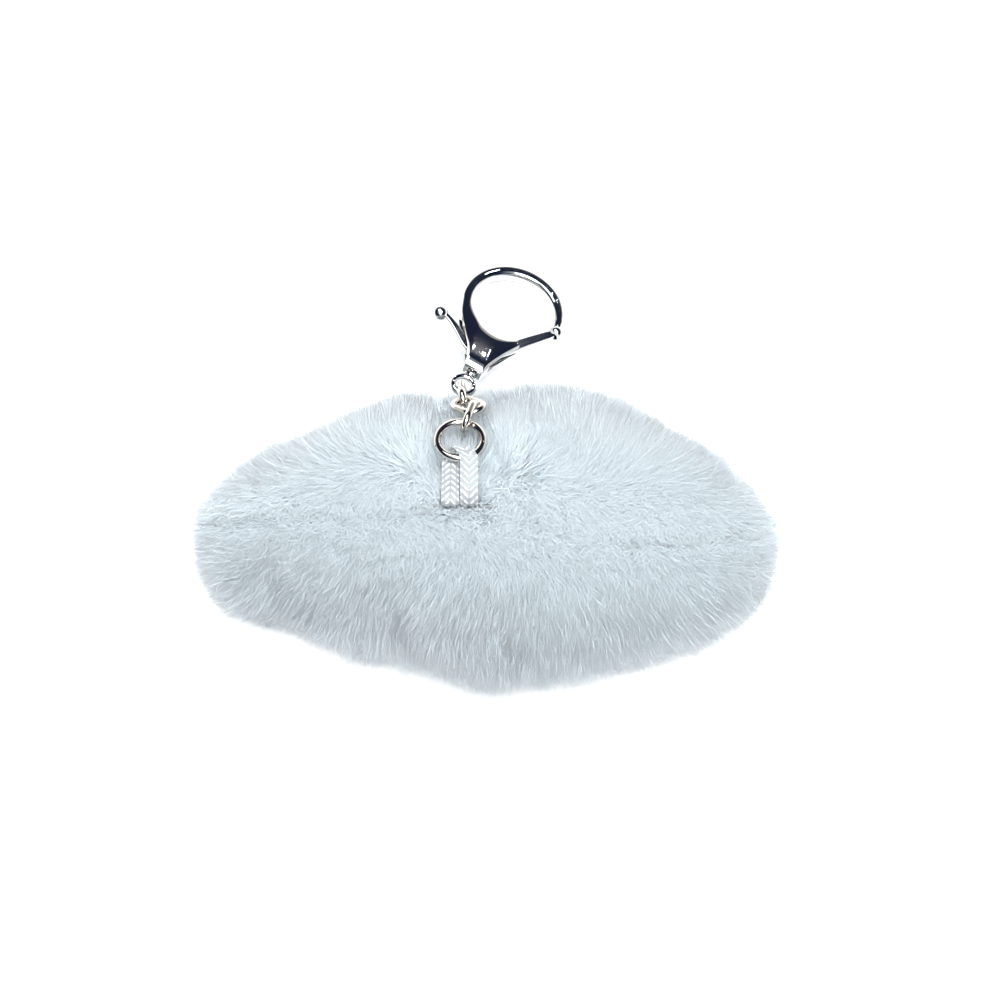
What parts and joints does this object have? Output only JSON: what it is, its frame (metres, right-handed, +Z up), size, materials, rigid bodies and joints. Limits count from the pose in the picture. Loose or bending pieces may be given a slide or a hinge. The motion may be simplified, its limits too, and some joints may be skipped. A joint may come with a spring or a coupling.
{
  "type": "plush keychain",
  "caption": "Furry white cloud-shaped plush on a woven ribbon loop, with a jump ring, a short chain and a swivel lobster clasp.",
  "frame": {"origin": "middle of the flat underside that the plush lies on", "axes": "+X along the plush's length, to the right seen from the front; +Y to the rear, where the chain and clasp lie; +Z up"},
  "size_m": [0.1286, 0.0969, 0.0381],
  "materials": {
    "fur_upper": "long-pile faux fur, cool white",
    "fur_lower": "long-pile faux fur, cool white, pressed by the ground",
    "fill": "loose polyester fibre",
    "thread": "white polyester thread",
    "ribbon": "woven nylon, herringbone",
    "nickel": "polished nickel plate",
    "spring_steel": "bright drawn wire"
  },
  "bodies": {
    "plush": {"top_front_panel": "fur_upper", "top_rear_panel": "fur_upper", "base_panel": "fur_lower", "stuffing": "fill", "spine_seam_thread": "thread", "edge_seam_thread": "thread", "closing_stitches": "thread", "ribbon_tails": "ribbon", "ribbon_bar_tack": "thread"},
    "ribbon": {"ribbon_loop": "ribbon"},
    "ring": {"jump_ring": "nickel"},
    "link_1": {"chain_link_1": "nickel"},
    "link_2": {"chain_link_2": "nickel"},
    "link_3": {"chain_link_3": "nickel"},
    "eye": {"swivel_eye": "nickel"},
    "clasp": {"clasp_body": "nickel", "trigger_pin": "nickel", "trigger_spring": "spring_steel"},
    "trigger": {"trigger_lever": "nickel"}
  },
  "joints": [
    {"name": "ribbon_swing", "type": "hinge", "parent": "plush", "child": "ribbon", "pos_m": [-0.0068, 0.0028, 0.0365], "axis": [1, 0, 0], "range_deg": [0, 100]},
    {"name": "ring_swing", "type": "hinge", "parent": "ribbon", "child": "ring", "pos_m": [-0.0068, 0.01273, 0.03501], "axis": [1, 0, 0], "range_deg": [0, 60]},
    {"name": "link_1_swing", "type": "hinge", "parent": "ring", "child": "link_1", "pos_m": [-0.00553, 0.02112, 0.03017], "axis": [0.9659, -0.2241, 0.1294], "range_deg": [0, 40]},
    {"name": "link_2_turn", "type": "hinge", "parent": "link_1", "child": "link_2", "pos_m": [-0.00347, 0.02494, 0.02794], "axis": [0.1821, 0.5287, 0.829], "range_deg": [-10, 10]},
    {"name": "link_3_swing", "type": "hinge", "parent": "link_2", "child": "link_3", "pos_m": [-0.00628, 0.02707, 0.02371], "axis": [0.9802, 0.1834, 0.075], "range_deg": [0, 20]},
    {"name": "eye_swing", "type": "hinge", "parent": "link_3", "child": "eye", "pos_m": [-0.00594, 0.02944, 0.0187], "axis": [0.9711, -0.1068, -0.2134], "range_deg": [0, 20]},
    {"name": "clasp_swivel", "type": "hinge", "parent": "eye", "child": "clasp", "pos_m": [-0.00457, 0.03444, 0.01678], "axis": [0.4394, 0.7611, -0.4772], "continuous": true},
    {"name": "trigger_press", "type": "hinge", "parent": "clasp", "child": "trigger", "pos_m": [-0.00203, 0.03825, 0.0143], "axis": [0.2386, 0.4132, 0.8788], "range_deg": [0, 18], "stiffness_Nm_per_rad": 0.02, "springref_deg": -28.65}
  ]
}
